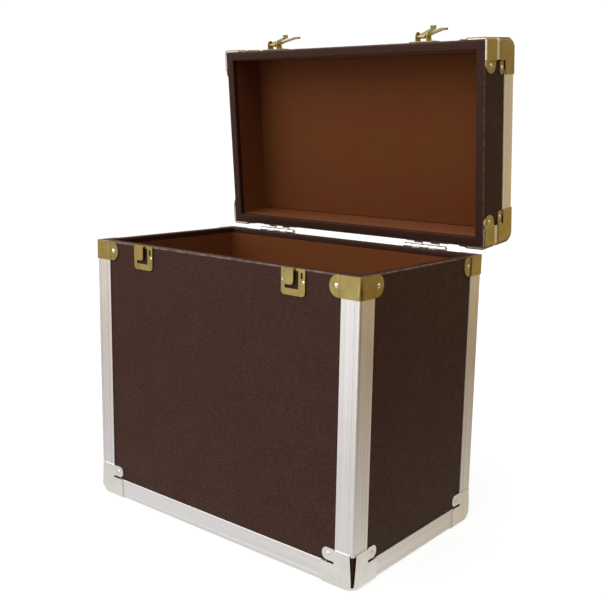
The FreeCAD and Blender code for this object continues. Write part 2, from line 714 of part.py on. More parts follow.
# Rivets in the corner ears: (across the face from the upright edge, from the point or the rim)
body_ear_up = (FLANGE_END + EAR_GAP + BODY_CORNER_RISE) / 2
lid_ear_up = (FLANGE_END + EAR_GAP + LID_CORNER_RISE) / 2
base_ear_up = (FLANGE_END + EAR_GAP + CORNER_ARM) / 2
ear_face = EDGING_SHEET
for side_x, side_y in CORNERS.values():
    front_y = side_y * (CORNER_Y - ear_face)
    flank_x = side_x * (CORNER_X - ear_face)
    out_x = (side_x, 0, 0)
    out_y = (0, side_y, 0)
    for rivets, across, z in (
            (body_rivets, CORNER_RIVET_IN, body_ear_up),
            (body_rivets, CAP_RIVET_IN, BODY_RIM_Z - CAP_HEIGHT / 2),
            (lid_rivets, CORNER_RIVET_IN, LID_CORNER_Z - lid_ear_up),
            (lid_rivets, CAP_RIVET_IN, LID_RIM_Z + CAP_HEIGHT / 2)):
        rivets.add((side_x * (CORNER_X - across), front_y, z), out_y)
        rivets.add((flank_x, side_y * (CORNER_Y - across), z), out_x)
    flat_x = side_x * (CORNER_X - CORNER_RIVET_IN)
    flat_y = side_y * (CORNER_Y - base_ear_up)
    body_rivets.add((flat_x, flat_y, ear_face), (0, 0, -1))
    lid_rivets.add((flat_x, flat_y, LID_CORNER_Z - ear_face), (0, 0, 1))

for side in (-1, 1):
    for edge in (-1, 1):
        keeper_x = side * LATCH_X + edge * KEEPER_RIVET_X
        latch_x = side * LATCH_X + edge * LATCH_RIVET_X
        body_rivets.add((keeper_x, -FACE_Y - KEEPER_SHEET, BODY_RIM_Z - KEEPER_RIVET_DROP),
                        (0, -1, 0), *KEEPER_RIVET)
        lid_rivets.add((latch_x, -FACE_Y - LATCH_SHEET, LID_RIM_Z + LATCH_RIVET_UP), (0, -1, 0))
    for x, z in hinge_rivet_places(True):
        body_rivets.add((side * HINGE_X + x, FACE_Y + HINGE_SHEET, z), (0, 1, 0))
    for x, z in hinge_rivet_places(False):
        lid_rivets.add((side * HINGE_X + x, FACE_Y + HINGE_SHEET, z), (0, 1, 0))
    for x in (-BRACKET_RIVET_X, BRACKET_RIVET_X):
        for y in (-BRACKET_RIVET_Y, BRACKET_RIVET_Y):
            place = (side * HANDLE_PIVOT_X + x, y, LID_FACE_Z + BRACKET_SHEET)
            lid_rivets.add(place, (0, 0, 1))

body_relief = corner_relief(0, 1)
lid_relief = corner_relief(LID_CORNER_Z, -1)
for key, shape in body_walls.items():
    name = "base" if key == "closing" else key
    save(body_rivets.drill(shape.cut(body_relief)), "body_" + name + "_board")
for key, shape in lid_walls.items():
    name = "top" if key == "closing" else key
    save(lid_open(lid_rivets.drill(shape.cut(lid_relief))), "lid_" + name + "_board")
save(Part.makeCompound(body_linings), "body_lining")
save(lid_open(Part.makeCompound(lid_linings)), "lid_lining")

upright = vertical_edging(BODY_CORNER_RISE - UPRIGHT_LAP, BODY_RIM_Z)
lid_upright = vertical_edging(LID_RIM_Z, LID_CORNER_Z - LID_CORNER_RISE + LEVEL_LAP)
body_caps = []
lid_caps = []
lid_uprights = []
for corner, (side_x, side_y) in CORNERS.items():
    save(mirrored(upright, side_x, side_y), "body_edging_" + corner)
    save(body_rivets.drill(mirrored(body_corner, side_x, side_y)), "body_corner_" + corner)
    save(lid_open(lid_rivets.drill(mirrored(lid_corner, side_x, side_y))), "lid_corner_" + corner)
    body_caps.append(body_rivets.drill(mirrored(body_cap, side_x, side_y)))
    lid_caps.append(lid_rivets.drill(mirrored(lid_cap, side_x, side_y)))
    lid_uprights.append(mirrored(lid_upright, side_x, side_y))
save(Part.makeCompound(body_caps), "body_rim_caps")
save(lid_open(Part.makeCompound(lid_caps)), "lid_rim_caps")
save(lid_open(Part.makeCompound(lid_uprights)), "lid_corner_edgings")
for side in ("front", "rear", "left", "right"):
    save(level_edging(side, SHEET, 1), "body_base_edging_" + side)
    save(lid_open(level_edging(side, LID_EDGING_Z, -1)), "lid_top_edging_" + side)

pins = []
pivots = []
handle_pins = []
for side, name in ((-1, "left"), (1, "right")):
    move = V(side * HINGE_X, 0, 0)
    save(body_rivets.drill(hinge_leaf(True).translated(move)), "hinge_body_leaf_" + name)
    save(lid_open(lid_rivets.drill(hinge_leaf(False).translated(move))), "hinge_lid_leaf_" + name)
    half = HINGE_WIDTH / 2
    pins.append(rod((side * HINGE_X - half, PIN_Y, PIN_Z), X_AXIS, 2 * half, HINGE_PIN))
    move = V(side * LATCH_X, 0, 0)
    save(body_rivets.drill(keeper().translated(move)), "keeper_" + name)
    save(lid_open(lid_rivets.drill(latch_base().translated(move))), "latch_base_" + name)
    pivots += latch_pivots(side * LATCH_X)
    save(lid_open(latch_open(latch_lever(), False).translated(move)), "latch_lever_" + name)
    save(lid_open(latch_open(claw_pin(), False).translated(move)), "latch_claw_pin_" + name)
    save(lid_open(latch_open(latch_claw(), True).translated(move)), "latch_claw_" + name)
    save(lid_open(lid_rivets.drill(handle_bracket(side))), "handle_bracket_" + name)
    handle_pins.append(handle_pin(side))
save(Part.makeCompound(pins), "hinge_pins")
save(lid_open(Part.makeCompound(pivots)), "latch_pivots")
save(lid_open(Part.makeCompound(handle_pins)), "handle_pins")
save(lid_open(handle_grip()), "handle_grip")
save(Part.makeCompound(body_rivets.solids), "body_rivets")
save(lid_open(Part.makeCompound(lid_rivets.solids)), "lid_rivets")
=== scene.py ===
# Looks of the record storage case: covered boards, linings, plated metal, moulded grip, light and camera.
import json
import math

import bmesh
import bpy
from mathutils import Matrix, Vector


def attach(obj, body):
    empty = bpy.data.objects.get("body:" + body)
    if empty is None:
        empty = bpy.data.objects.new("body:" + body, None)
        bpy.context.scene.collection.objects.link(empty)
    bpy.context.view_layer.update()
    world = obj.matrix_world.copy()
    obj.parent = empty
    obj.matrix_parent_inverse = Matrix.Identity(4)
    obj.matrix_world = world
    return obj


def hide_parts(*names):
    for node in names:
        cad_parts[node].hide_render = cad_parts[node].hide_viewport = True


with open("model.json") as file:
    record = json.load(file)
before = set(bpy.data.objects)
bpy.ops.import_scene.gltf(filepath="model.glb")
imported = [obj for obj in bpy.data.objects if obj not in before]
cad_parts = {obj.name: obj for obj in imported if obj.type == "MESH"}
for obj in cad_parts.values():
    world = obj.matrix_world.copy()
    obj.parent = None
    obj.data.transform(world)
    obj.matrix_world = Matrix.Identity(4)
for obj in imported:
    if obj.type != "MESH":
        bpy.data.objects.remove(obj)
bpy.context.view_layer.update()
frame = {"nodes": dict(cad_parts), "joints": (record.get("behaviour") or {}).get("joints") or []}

MM = 0.001


def colour(red, green, blue):
    """Opaque colour in linear light."""
    return (red, green, blue, 1.0)


# The lid is packed open. SHUT carries a lid piece to where it lies on the body, OPEN carries it back.
lid_hinge = next(j for j in frame["joints"] if j["name"] == "lid_hinge")
HINGE_POINT = Vector(lid_hinge["pos_m"])
LID_TILT = math.radians(lid_hinge["range_deg"][1])
SHUT = (Matrix.Translation(HINGE_POINT) @ Matrix.Rotation(LID_TILT, 4, Vector(lid_hinge["axis"]))
        @ Matrix.Translation(-HINGE_POINT))
OPEN = SHUT.inverted()
BODY = Matrix.Identity(4)
HALVES = {"body": ("case_body", BODY), "lid": ("lid", OPEN)}

# Covering and lining
RIM_OUTER_ROUND = 1.6 * MM
RIM_INNER_ROUND = 1.2 * MM
# Painted highlight on the rim's outer rounding: its strength on each half, and how far in and down from
# the rim it reaches.
RIM_HIGHLIGHT = {"body": 1.0, "lid": 0.5}
HIGHLIGHT_INSET = 0.99 * RIM_OUTER_ROUND
HIGHLIGHT_DEPTH = 0.75 * RIM_OUTER_ROUND
TURN_IN = 6.0 * MM
TURN_IN_EDGE = 0.5 * MM
CORNER_TRIM = 2.0 * MM
LINING_SHEET = 1.0 * MM
LINING_ROUND = 2.5 * MM
CARD_THICKNESS = 1.2 * MM
CARD_GAP = 2.2 * MM
CARD_ROUND = 0.45 * MM
SAME_LEVEL = 0.001 * MM

# Handle: two arms, a grip bar that swells in its middle, and a bored eye on each arm
HANDLE_REACH = 34.0 * MM
HANDLE_BEND = 14.0 * MM
HANDLE_SIDES = 28
ARM_HALF = 5.9 * MM
ARM_HALF_THICK = 5.2 * MM
ARM_STATIONS = 4
BAR_STATIONS = 64
SWELL_TO_FINGERS = 1.9 * MM
SWELL_OUTWARDS = 1.6 * MM
SWELL_THICK = 3.1 * MM
SWELL_POWER = 0.7
RIDGE_HEIGHT = 0.55 * MM
RIDGES = 4.5
RIDGE_FADE = 4.0
MOULD_LINE = 0.25 * MM
EYE_HALF = 6.0 * MM
EYE_RADIUS = 6.5 * MM
EYE_BORE = 2.1 * MM
EYE_ROUND = 0.8 * MM
EYE_SIDES = 32

# Rounded edges of pressed and cut metal
CORNER_SOFT = 0.30 * MM
CAP_SOFT = 0.25 * MM
FITTING_SOFT = 0.20 * MM
SOFT_FROM_DEG = 40
WELD_REACH = 0.005 * MM

# Plates as (tone, shade)
NICKEL_TONES = ((0.775, 0.755, 0.730), (0.720, 0.700, 0.670))
BRASS_TONES = ((0.375, 0.298, 0.106), (0.310, 0.240, 0.080))
RIVET_TONES = ((0.74, 0.70, 0.62), (0.66, 0.62, 0.54))
STEEL_TONES = ((0.66, 0.64, 0.61), (0.60, 0.58, 0.55))
PIT_SHADE = 0.55

# Camera
CAMERA_PLACE = (0.6002, -0.6915, 0.4049)
CAMERA_AZIMUTH = 38.085
CAMERA_ELEVATION = 10.016
CAMERA_ROLL = 1.270
CAMERA_LENS = 52.72
CAMERA_SHIFT = (-0.0442, -0.0209)

# Room. A part is (towards, tone, where it starts, where it is full), by the cosine of the angle.
BACKDROP = (1.02, 1.02, 1.02)
ROOM_BASE = (0.09, 0.055, 0.035)
REFLECTED_BASE = (0.57, 0.45, 0.27)
ROOM_PARTS = (
    ((-0.62, -0.78, 0.0), (0.98, 0.96, 0.96), -0.25, 0.95),
    ((0.0, -0.10, 1.0), (1.30, 1.28, 1.25), 0.15, 1.0),
)

# Floor: the white one that is seen, the one that is reflected and the pale one that throws light up
STAGE = 60.0
SEEN_LEVEL = -0.2 * MM
REFLECTED_LEVEL = -0.4 * MM
BOUNCE_LEVEL = -0.6 * MM
FLOOR_GREY = colour(0.18, 0.18, 0.18)
FLOOR_PALE = colour(0.87, 0.87, 0.865)
NEAR_FLOOR = 1.2
FLOOR_GLOW = 0.84
CLOSE_FLOOR_TONE = (0.68, 0.60, 0.48)
CLOSE_FLOOR_PARTS = (((-0.3, -0.95, 0.0), (0.87, 0.86, 0.84), -0.75, 0.35),)
CLOSE_TO_NEAR = (0.20, 0.36)
NEAR_FLOOR_TONE = (0.60, 0.54, 0.46)
NEAR_FLOOR_PARTS = (((-0.3, -0.95, 0.0), (0.73, 0.70, 0.70), -0.75, 0.35),)
NEAR_TO_MIDDLE = (0.25, 1.0)
MIDDLE_FLOOR_TONE = (0.33, 0.215, 0.12)
MIDDLE_TO_FAR = (1.1, 1.9)
FAR_FLOOR_TONE = (0.70, 0.55, 0.29)
FLOOR_PARTS = (
    ((-0.35, -0.94, 0.0), (1.12, 1.09, 1.10), 0.74, 0.97),
    ((1.0, -0.25, 0.0), (0.10, 0.07, 0.05), 0.82, 0.97),
    ((0.12, -0.99, 0.0), (1.5, 1.45, 1.30), 0.90, 0.985),
)

# Lamps as (shining from, spread in degrees, strength)
KEY = ((-0.36, -0.58, 0.73), 80.0, 1.9)
FILL = ((0.60, -0.25, 0.76), 60.0, 0.18)


# ---------------------------------------------------------------- measuring and building

def extent(half, *names):
    """Lowest and highest corner of CAD nodes, a lid node's as it lies on the body."""
    place = SHUT if half == "lid" else BODY
    points = [place @ v.co for name in names for v in frame["nodes"][name].data.vertices]
    low = Vector([min(p[i] for p in points) for i in range(3)])
    high = Vector([max(p[i] for p in points) for i in range(3)])
    return low, high


def finished(mesh_code, name, place, material, sharp_deg=35.0):
    """Object from a bmesh, smooth apart from edges sharper than the angle."""
    bmesh.ops.recalc_face_normals(mesh_code, faces=mesh_code.faces)
    mesh = bpy.data.meshes.new(name)
    mesh_code.to_mesh(mesh)
    mesh_code.free()
    mesh.shade_smooth()
    mesh.set_sharp_from_angle(angle=math.radians(sharp_deg))
    mesh.materials.append(material)
    made = bpy.data.objects.new(name, mesh)
    bpy.context.scene.collection.objects.link(made)
    made.matrix_world = place
    return made


def arc(centre, radius, start_deg, end_deg, steps=5):
    """Points along a circular arc."""
    points = []
    for i in range(steps + 1):
        angle = math.radians(start_deg + (end_deg - start_deg) * i / steps)
        points.append((centre[0] + radius * math.cos(angle), centre[1] + radius * math.sin(angle)))
    return points


# ---------------------------------------------------------------- materials

# The colour sockets of a Mix node, whose names repeat for its other data types
MIX_FACTOR, MIX_FIRST, MIX_SECOND, MIX_COLOUR = 0, 6, 7, 2


class Surface:
    """A Principled material, with short calls for the nodes that feed it. Grain sizes are in metres."""

    def __init__(self, name, **values):
        self.made = bpy.data.materials.new(name)
        self.made.use_nodes = True
        self.tree = self.made.node_tree
        self.shader = self.tree.nodes["Principled BSDF"]
        self.coordinates = self.tree.nodes.new("ShaderNodeTexCoord").outputs["Object"]
        self.normal = None
        for key, value in values.items():
            self.set(key.replace("_", " "), value)

    def set(self, socket, value):
        """Give the shader's socket a value or another node's output."""
        self.feed(self.shader.inputs[socket], value)

    def feed(self, socket, value):
        if isinstance(value, bpy.types.NodeSocket):
            self.tree.links.new(value, socket)
        else:
            socket.default_value = value

    def node(self, kind, inputs=(), **settings):
        """New node with its settings and its inputs' values or links."""
        made = self.tree.nodes.new(kind)
        for key, value in settings.items():
            setattr(made, key, value)
        for key, value in dict(inputs).items():
            self.feed(made.inputs[key], value)
        return made

    def at(self, size, tilt=0.0):
        """Coordinates in which one unit is the given size along X, Y and Z."""
        size = size if isinstance(size, tuple) else (size, size, size)
        made = self.node("ShaderNodeMapping", {"Vector": self.coordinates}, vector_type="TEXTURE")
        made.inputs["Rotation"].default_value = (-tilt, 0.0, 0.0)
        made.inputs["Scale"].default_value = size
        return made.outputs[0]

    def noise(self, size, detail, tilt=0.0, distortion=0.0):
        """Fractal noise with grains of the given size."""
        inputs = {"Vector": self.at(size, tilt), "Scale": 1.0, "Detail": detail, "Distortion": distortion}
        return self.node("ShaderNodeTexNoise", inputs).outputs[0]

    def cells(self, size, warp):
        """Distance to the borders of Voronoi cells, bent by noise."""
        base = self.at(size)
        bend = self.node("ShaderNodeTexNoise", {"Vector": base, "Scale": 1.3, "Detail": 1.0})
        scaled = self.node("ShaderNodeVectorMath", {0: bend.outputs["Color"], 3: warp}, operation="SCALE")
        moved = self.node("ShaderNodeVectorMath", {0: base, 1: scaled.outputs[0]}, operation="ADD")
        inputs = {"Vector": moved.outputs[0], "Scale": 1.0}
        return self.node("ShaderNodeTexVoronoi", inputs, feature="DISTANCE_TO_EDGE").outputs[0]

    def span(self, value, low, high, to_low=0.0, to_high=1.0):
        """The value's stretch from low to high, spread over another stretch."""
        inputs = {0: value, 1: low, 2: high, 3: to_low, 4: to_high}
        return self.node("ShaderNodeMapRange", inputs).outputs[0]

    def attribute(self, name):
        """A piece's own painted value, nothing on pieces that have none."""
        return self.node("ShaderNodeAttribute", attribute_name=name).outputs["Fac"]

    def sum(self, first, second):
        return self.node("ShaderNodeMath", {0: first, 1: second}, operation="ADD").outputs[0]

    def times(self, first, second):
        return self.node("ShaderNodeMath", {0: first, 1: second}, operation="MULTIPLY").outputs[0]

    def blend(self, factor, first, second):
        """Colour between two colours."""
        made = self.node("ShaderNodeMix", data_type="RGBA")
        self.feed(made.inputs[MIX_FACTOR], factor)
        self.feed(made.inputs[MIX_FIRST], first)
        self.feed(made.inputs[MIX_SECOND], second)
        return made.outputs[MIX_COLOUR]

    def bump(self, height, distance, strength=1.0):
        """Raise the surface by the height times the distance in metres."""
        inputs = {"Height": height, "Distance": distance, "Strength": strength}
        made = self.node("ShaderNodeBump", inputs)
        if self.normal is not None:
            self.feed(made.inputs["Normal"], self.normal)
        self.normal = made.outputs[0]
        self.set("Normal", self.normal)


def leatherette():
    """Fine pebbled brown covering, satin, with painted shade in the creases and a painted highlight, paler
    and broken up, where a rim's outer rounding is marked.
    """
    red_crease_shade, red_crown = colour(0.0118, 0.0038, 0.0020), colour(0.0530, 0.0178, 0.0098)
    brown_crease_shade, brown_crown = colour(0.0132, 0.0046, 0.0026), colour(0.0570, 0.0206, 0.0122)
    painted_rim_highlight = colour(0.150, 0.098, 0.078)
    s = Surface("leatherette", Specular_IOR_Level=0.12)
    pebbles = s.span(s.cells(1.5 * MM, warp=0.6), 0.0, 0.36)
    fine = s.noise(0.5 * MM, detail=3.0)
    weave = s.noise((3.4 * MM, 3.4 * MM, 2.0 * MM), detail=3.0)
    patches = s.noise(32 * MM, detail=3.0)
    uneven = s.noise(7 * MM, detail=4.0)
    # The grain is random tone together with painted shade: the pebbles' creases are painted darker.
    grain = s.sum(s.times(pebbles, 0.60), s.times(fine, 0.25))
    grain = s.sum(grain, s.span(weave, 0.32, 0.68, 0.0, 0.30))
    red = s.blend(grain, red_crease_shade, red_crown)
    brown = s.blend(grain, brown_crease_shade, brown_crown)
    covering = s.blend(s.span(patches, 0.35, 0.68), red, brown)
    # Painted highlight: a paler colour in patches over the rim's outer rounding, standing in for light
    # caught by the rounded edge.
    mask = s.times(s.attribute("rim"), s.span(uneven, 0.34, 0.60, 0.15, 1.0))
    s.set("Base Color", s.blend(mask, covering, painted_rim_highlight))
    s.set("Roughness", s.sum(s.span(uneven, 0.3, 0.7, 0.48, 0.60), s.times(grain, -0.08)))
    s.bump(s.noise(60 * MM, detail=1.0), 0.8 * MM)
    s.bump(grain, 0.22 * MM, 0.6)
    return s.made


def lining():
    """Short-napped red-brown paper cloth with a soft mottle."""
    red_deep, red_light = colour(0.096, 0.0235, 0.0050), colour(0.155, 0.040, 0.0095)
    brown_deep, brown_light = colour(0.092, 0.0275, 0.0056), colour(0.142, 0.044, 0.0100)
    s = Surface("lining", Specular_IOR_Level=0.15, Sheen_Weight=0.18, Sheen_Roughness=0.4)
    s.set("Sheen Tint", colour(0.75, 0.35, 0.2))
    fibres = s.noise(0.35 * MM, detail=3.0)
    clumps = s.noise(2.2 * MM, detail=3.0)
    mottle = s.noise(38 * MM, detail=3.0)
    nap = s.sum(s.times(fibres, 0.6), s.times(clumps, 0.4))
    raised = s.span(nap, 0.3, 0.7)
    red = s.blend(raised, red_deep, red_light)
    brown = s.blend(raised, brown_deep, brown_light)
    s.set("Base Color", s.blend(s.span(mottle, 0.35, 0.65), red, brown))
    s.set("Roughness", s.span(clumps, 0.3, 0.7, 0.85, 0.97))
    s.bump(s.noise(45 * MM, detail=1.0), 0.5 * MM)
    s.bump(nap, 0.12 * MM, 0.5)
    return s.made


def aluminium(name, along, tilt):
    """Satin anodised extrusion with die lines along its run and a few handling marks."""
    dull_band, bright_band = colour(0.675, 0.660, 0.650), colour(0.752, 0.742, 0.737)
    marked = colour(0.58, 0.56, 0.54)
    s = Surface(name, Metallic=1.0)
    line_size = [0.25 * MM] * 3
    line_size[along] = 90 * MM
    band_size = [2.6 * MM] * 3
    band_size[along] = 700 * MM
    line = s.noise(tuple(line_size), detail=2.0, tilt=tilt)
    band = s.noise(tuple(band_size), detail=1.0, tilt=tilt)
    smudge = s.noise(24 * MM, detail=3.0)
    fleck = s.span(s.noise(1.6 * MM, detail=3.0), 0.70, 0.78)
    banded = s.blend(s.span(band, 0.35, 0.65), dull_band, bright_band)
    s.set("Base Color", s.blend(s.times(fleck, 0.25), banded, marked))
    s.set("Roughness", s.sum(s.span(line, 0.3, 0.7, 0.30, 0.38), s.span(smudge, 0.35, 0.7, 0.0, 0.08)))
    s.bump(line, 0.012 * MM, 0.6)
    return s.made


def plate(name, tones, rough, wave):
    """Polished plate over pressed sheet: slow waves from the press, fine scratches, dull spots."""
    tone, shade = tones
    pitted = colour(*[part * PIT_SHADE for part in shade])
    s = Surface(name, Metallic=1.0)
    cloud = s.noise(14 * MM, detail=3.0)
    pits = s.span(s.noise(0.9 * MM, detail=2.0), 0.68, 0.76)
    scratches = s.noise((0.12 * MM, 7 * MM, 3 * MM), detail=2.0, distortion=0.4)
    scratches = s.span(scratches, 0.62, 0.70)
    clouded = s.blend(s.span(cloud, 0.35, 0.65), colour(*tone), colour(*shade))
    s.set("Base Color", s.blend(s.times(pits, 0.35), clouded, pitted))
    s.set("Roughness", s.sum(s.span(cloud, 0.4, 0.7, rough, rough + 0.07), s.times(scratches, 0.10)))
    s.bump(s.noise(9 * MM, detail=1.0), wave)
    s.bump(scratches, -0.006 * MM, 0.7)
    return s.made


def moulded_plastic():
    """Black plastic with a spark-eroded texture, painted shade in its pits, and smoother in patches from
    handling.
    """
    pit_shade_black, crown_black = colour(0.010, 0.009, 0.009), colour(0.024, 0.022, 0.021)
    s = Surface("grip_plastic", Specular_IOR_Level=0.45)
    sand = s.noise(0.5 * MM, detail=3.0)
    mask = s.noise(18 * MM, detail=2.0)
    # Painted shade: the texture's pits, where its bump sinks, are coloured darker.
    s.set("Base Color", s.blend(sand, pit_shade_black, crown_black))
    s.set("Roughness", s.span(mask, 0.35, 0.65, 0.36, 0.55))
    s.bump(sand, 0.06 * MM, 0.6)
    return s.made


LEATHERETTE = leatherette()
LINING = lining()
NICKEL = plate("nickel_plate", NICKEL_TONES, rough=0.22, wave=0.14 * MM)
BRASS_TONE = plate("brass_tone_plate", BRASS_TONES, rough=0.24, wave=0.26 * MM)
RIVET_PLATE = plate("rivet_nickel", RIVET_TONES, rough=0.18, wave=0.02 * MM)
HINGE_STEEL = plate("hinge_steel", STEEL_TONES, rough=0.28, wave=0.04 * MM)
GRIP_PLASTIC = moulded_plastic()


# ---------------------------------------------------------------- covered boards

def wall_profile(board, rim_z, far_z):
    """Section of a covered wall as (inset, height): rounded over the rim and turned in over the lining."""
    up = 1 if rim_z > far_z else -1
    full = board + LINING_SHEET

    def rim(inset, depth):
        return inset, rim_z - up * depth

    points = [(0.0, far_z)]
    outer = (RIM_OUTER_ROUND, 0.0)
    points += [rim(x, RIM_OUTER_ROUND - y) for x, y in arc(outer, RIM_OUTER_ROUND, 180, 90)]
    inner = (full - RIM_INNER_ROUND, 0.0)
    points += [rim(x, RIM_INNER_ROUND - y) for x, y in arc(inner, RIM_INNER_ROUND, 90, 0)]
    edge = (full - TURN_IN_EDGE, 0.0)
    points += [rim(x, TURN_IN - y) for x, y in arc(edge, TURN_IN_EDGE, 0, -90, 3)]
    points += [rim(board, TURN_IN + TURN_IN_EDGE), (board, far_z)]
    return points


def wall(half, side, half_x, half_y, profile, relief):
    """Straight wall with mitred ends, its outer far corners trimmed to clear the metal corners."""
    code = bmesh.new()
    loops = []
    for end in (-1, 1):
        loop = []
        for inset, z in profile:
            x, y = half_x - inset, half_y - inset
            spot = {"front": (end * x, -y), "rear": (end * x, y),
                    "left": (-x, end * y), "right": (x, end * y)}[side]
            loop.append(code.verts.new((*spot, z)))
        loops.append(loop)
    count = len(profile)
    for i in range(count):
        j = (i + 1) % count
        code.faces.new((loops[0][i], loops[0][j], loops[1][j], loops[1][i]))
    code.faces.new(loops[0])
    code.faces.new(list(reversed(loops[1])))
    for point, normal in relief:
        everything = code.verts[:] + code.edges[:] + code.faces[:]
        found = bmesh.ops.bisect_plane(code, geom=everything, plane_co=point, plane_no=normal,
                                       clear_outer=True)
        rim = [g for g in found["geom_cut"] if isinstance(g, bmesh.types.BMEdge)]
        if rim:
            bmesh.ops.holes_fill(code, edges=rim, sides=0)
    body, place = HALVES[half]
    made = finished(code, f"{half}_{side}_covered_board", place, LEATHERETTE)
    # Painted highlight along the rim's outer rounding.
    paint_rim_highlight(made, profile, RIM_HIGHLIGHT[half])
    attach(made, body)
    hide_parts(f"{half}_{side}_board")


def paint_rim_highlight(made, profile, highlight_strength):
    """Mark the outer rounding of the rim with the strength of its painted highlight."""
    far_z = profile[0][1]
    rim_z = max((z for inset, z in profile), key=lambda z: abs(z - far_z))
    marks = made.data.attributes.new("rim", "FLOAT", "POINT")
    half = max(abs(v.co.x) for v in made.data.vertices), max(abs(v.co.y) for v in made.data.vertices)
    for v in made.data.vertices:
        depth = abs(v.co.z - rim_z)
        inset = min(half[0] - abs(v.co.x), half[1] - abs(v.co.y))
        mask = inset < HIGHLIGHT_INSET and depth < HIGHLIGHT_DEPTH
        marks.data[v.index].value = highlight_strength if mask else 0.0


def corner_relief(half_x, half_y, far_z, up):
    """Planes that cut the board's outer corners back, one for each far corner."""
    planes = []
    for side_x in (-1, 1):
        for side_y in (-1, 1):
            outwards = Vector((side_x, side_y, -up))
            corner = Vector((side_x * half_x, side_y * half_y, far_z))
            planes.append((corner - outwards * CORNER_TRIM, outwards.normalized()))
    return planes


def covered_walls(half):
    """Four covered walls of one half, in place of its plain boards."""
    names = [f"{half}_{side}_board" for side in ("front", "rear", "left", "right")]
    low, high = extent(half, *names)
    lining_low, _ = extent(half, f"{half}_lining")
    board = lining_low.x - low.x
    rim_z, far_z = (high.z, low.z) if half == "body" else (low.z, high.z)
    profile = wall_profile(board, rim_z, far_z)
    relief = corner_relief(high.x, high.y, far_z, 1 if half == "body" else -1)
    for side in ("front", "rear", "left", "right"):
        wall(half, side, high.x, high.y, profile, relief)


def lining_shell(half):
    """Open box of lining with rounded inner corners, tucked under the turned-in covering."""
    low, high = extent(half, f"{half}_lining")
    inner_low = low + Vector([LINING_SHEET] * 3)
    inner_high = high - Vector([LINING_SHEET] * 3)
    if half == "body":
        inner_high.z = high.z - TURN_IN
    else:
        inner_low.z = low.z + TURN_IN
    code = bmesh.new()
    bmesh.ops.create_cube(code, size=1.0)
    size = inner_high - inner_low
    middle = (inner_high + inner_low) / 2
    for vertex in code.verts:
        vertex.co = Vector([vertex.co[i] * size[i] for i in range(3)]) + middle
    open_z = inner_high.z if half == "body" else inner_low.z
    mouth = [f for f in code.faces if all(abs(v.co.z - open_z) < SAME_LEVEL for v in f.verts)]
    bmesh.ops.delete(code, geom=mouth, context="FACES_ONLY")
    rims = [e for e in code.edges if all(abs(v.co.z - open_z) < SAME_LEVEL for v in e.verts)]
    rounded = [e for e in code.edges if e not in rims]
    bmesh.ops.bevel(code, geom=rounded, offset=LINING_ROUND, segments=4, profile=0.5, affect="EDGES")
    bmesh.ops.recalc_face_normals(code, faces=code.faces)
    middle_face = max(code.faces, key=lambda f: f.calc_area())
    inwards = (middle - middle_face.calc_center_median()).dot(middle_face.normal) > 0
    bmesh.ops.solidify(code, geom=code.faces[:], thickness=LINING_SHEET if inwards else -LINING_SHEET)
    body, place = HALVES[half]
    made = finished(code, f"{half}_lining_shell", place, LINING)
    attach(made, body)
    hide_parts(f"{half}_lining")


def lining_card(half):
    """Lined card panel laid in the closed end, a shadow's width short of the walls."""
    low, high = extent(half, f"{half}_lining")
    inner_low = low + Vector([LINING_SHEET] * 3)
    inner_high = high - Vector([LINING_SHEET] * 3)
    floor_z = inner_low.z if half == "body" else inner_high.z - CARD_THICKNESS
    code = bmesh.new()
    bmesh.ops.create_cube(code, size=1.0)
    size_x, size_y = [inner_high[i] - inner_low[i] - 2 * CARD_GAP for i in range(2)]
    middle = (inner_low + inner_high) / 2
    for v in code.verts:
        v.co = Vector((middle.x + v.co.x * size_x, middle.y + v.co.y * size_y,
                       floor_z + (v.co.z + 0.5) * CARD_THICKNESS))
    bmesh.ops.bevel(code, geom=code.edges[:], offset=CARD_ROUND, segments=3, profile=0.5, affect="EDGES")
    body, place = HALVES[half]
    made = finished(code, f"{half}_lining_card", place, LINING)
    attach(made, body)


for half in HALVES:
    covered_walls(half)
    lining_shell(half)
    lining_card(half)


# ---------------------------------------------------------------- moulded handle

def handle_line():
    """Middle line of the handle as (point, direction, share of the way along the grip bar)."""
    low, high = extent("lid", "handle_grip")
    pin = Vector((0.0, low.y + EYE_RADIUS, (low.z + high.z) / 2))
    arm_x = high.x - EYE_HALF
    bar_y = pin.y + HANDLE_REACH
    bend = HANDLE_BEND
    line = []
    for i in range(ARM_STATIONS):
        reach = i * (HANDLE_REACH - bend) / ARM_STATIONS
        line.append((Vector((-arm_x, pin.y + reach, pin.z)), Vector((0, 1, 0)), None))
    for x, y in arc((-arm_x + bend, bar_y - bend), bend, 180, 95, 6):
        radial = Vector((x + arm_x - bend, y - bar_y + bend, 0)).normalized()
        line.append((Vector((x, y, pin.z)), Vector((radial.y, -radial.x, 0)), None))
    half = arm_x - bend
    for i in range(BAR_STATIONS // 2 + 1):
        share = i / BAR_STATIONS
        line.append((Vector((-half + 2 * half * share, bar_y, pin.z)), Vector((1, 0, 0)), share))
    for point, along, share in reversed(line[:-1]):
        mirrored = Vector((-point.x, point.y, point.z))
        line.append((mirrored, Vector((along.x, -along.y, 0)), None if share is None else 1 - share))
    return line, pin, arm_x


def handle_section(share):
    """Half width towards the fingers, half width outwards and half thickness of the handle."""
    if share is None:
        return ARM_HALF, ARM_HALF, ARM_HALF_THICK
    swell = math.sin(math.pi * share) ** SWELL_POWER
    fade = min(1.0, RIDGE_FADE * swell * (1 - abs(2 * share - 1)))
    ridges = RIDGE_HEIGHT * math.cos(2 * math.pi * RIDGES * (share - 0.5)) * fade
    inner = ARM_HALF + SWELL_TO_FINGERS * swell + ridges
    outer = ARM_HALF + SWELL_OUTWARDS * swell
    return inner, outer, ARM_HALF_THICK + SWELL_THICK * swell


